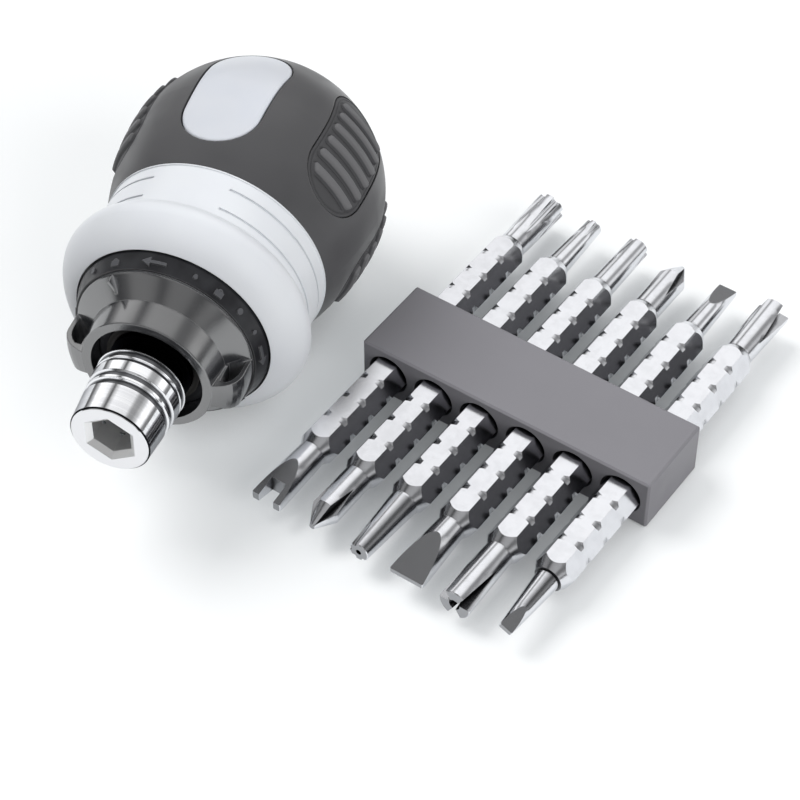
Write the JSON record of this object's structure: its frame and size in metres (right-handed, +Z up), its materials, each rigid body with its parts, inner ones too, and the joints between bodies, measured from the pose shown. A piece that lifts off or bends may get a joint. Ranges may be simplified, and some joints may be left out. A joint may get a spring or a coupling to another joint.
{
  "type": "ratcheting screwdriver",
  "caption": "Ball-handled ratcheting screwdriver with a three-way direction selector, beside a rack that holds its double-ended hexagonal bits.",
  "frame": {"origin": "middle of the part's bounding box, on the surface that the driver and the rack lie on", "axes": "+Z up, +Y along the driver's axis from its nose towards its ball, +X from the driver towards the rack"},
  "size_m": [0.1143, 0.0945, 0.0454],
  "materials": {
    "ball_plastic": "fine satin moulding",
    "core_plastic": "plain moulding",
    "inlay": "pearly gloss",
    "pad_rubber": "soft ribbed",
    "white_plastic": "cool white satin gloss",
    "ring_plastic": "satin with raised marks",
    "selector_plastic": "satin gloss moulding",
    "cam_plastic": "plain moulding",
    "spring_steel": "drawn wire and spring strip",
    "housing_metal": "blackened casting",
    "bush_sintered": "sintered iron, oil filled",
    "spindle_chrome": "turned and polished",
    "magnet": "plated disc",
    "pawl_steel": "hardened and ground",
    "rack_plastic": "fine matt moulding",
    "bit_chrome": "drawn, turned and plated"
  },
  "bodies": {
    "handle": {"handle_shell": "ball_plastic", "handle_core": "core_plastic", "inlay_top": "inlay", "inlay_bottom": "inlay", "grip_pad_upper_right": "pad_rubber", "grip_pad_lower_right": "pad_rubber", "grip_pad_lower_left": "pad_rubber", "grip_pad_upper_left": "pad_rubber", "front_collar": "white_plastic", "indicator_ring": "ring_plastic", "ratchet_housing": "housing_metal", "housing_cover": "housing_metal", "front_bush": "bush_sintered", "rear_bush": "bush_sintered", "thrust_washer": "bush_sintered", "selector_snap_ring": "spring_steel", "detent_spring": "spring_steel", "pawl_pin_left": "pawl_steel", "pawl_pin_right": "pawl_steel", "pawl_spring_left": "spring_steel", "pawl_spring_right": "spring_steel"},
    "selector": {"selector_collar": "selector_plastic", "selector_cam": "cam_plastic"},
    "spindle": {"drive_spindle": "spindle_chrome", "bit_clip": "spring_steel", "socket_magnet": "magnet", "spindle_circlip": "spring_steel"},
    "left_pawl": {"pawl_left": "pawl_steel"},
    "right_pawl": {"pawl_right": "pawl_steel"},
    "rack": {"bit_rack": "rack_plastic"},
    "body_bit_fork_star": {"bit_fork_star": "bit_chrome"},
    "body_bit_cross_star": {"bit_cross_star": "bit_chrome"},
    "body_bit_security_star": {"bit_security_star": "bit_chrome"},
    "body_bit_wide_slotted": {"bit_wide_slotted": "bit_chrome"},
    "body_bit_tri_wing": {"bit_tri_wing": "bit_chrome"},
    "body_bit_slim_slotted": {"bit_slim_slotted": "bit_chrome"}
  },
  "joints": [
    {"name": "selector_turn", "type": "hinge", "parent": "handle", "child": "selector", "pos_m": [-0.03411, -0.02598, 0.0227], "axis": [0, 1, 0], "range_deg": [-25, 25], "deforming": ["detent_spring"]},
    {"name": "spindle_spin", "type": "hinge", "parent": "handle", "child": "spindle", "pos_m": [-0.03411, -0.02598, 0.0227], "axis": [0, 1, 0], "continuous": true},
    {"name": "pawl_left_lift", "type": "hinge", "parent": "handle", "child": "left_pawl", "pos_m": [-0.0429, -0.01398, 0.02863], "axis": [0, -1, 0], "range_deg": [0, 8], "stiffness_Nm_per_rad": 0.02, "springref_deg": -6.88, "deforming": ["pawl_spring_left"]},
    {"name": "pawl_right_lift", "type": "hinge", "parent": "handle", "child": "right_pawl", "pos_m": [-0.02532, -0.01398, 0.02863], "axis": [0, 1, 0], "range_deg": [0, 8], "stiffness_Nm_per_rad": 0.02, "springref_deg": -6.88, "deforming": ["pawl_spring_right"]},
    {"name": "rack_lift", "type": "slide", "parent": "handle", "child": "rack", "axis": [0, 0, 1], "range_m": [0, 0.06]},
    {"name": "fork_star_pull", "type": "slide", "parent": "rack", "child": "body_bit_fork_star", "axis": [-0.2672, -0.9636, 0], "range_m": [0, 0.052]},
    {"name": "cross_star_pull", "type": "slide", "parent": "rack", "child": "body_bit_cross_star", "axis": [-0.2672, -0.9636, 0], "range_m": [0, 0.052]},
    {"name": "security_star_pull", "type": "slide", "parent": "rack", "child": "body_bit_security_star", "axis": [-0.2672, -0.9636, 0], "range_m": [0, 0.052]},
    {"name": "wide_slotted_pull", "type": "slide", "parent": "rack", "child": "body_bit_wide_slotted", "axis": [-0.2672, -0.9636, 0], "range_m": [0, 0.052]},
    {"name": "tri_wing_pull", "type": "slide", "parent": "rack", "child": "body_bit_tri_wing", "axis": [-0.2672, -0.9636, 0], "range_m": [0, 0.052]},
    {"name": "slim_slotted_pull", "type": "slide", "parent": "rack", "child": "body_bit_slim_slotted", "axis": [-0.2672, -0.9636, 0], "range_m": [0, 0.052]}
  ]
}
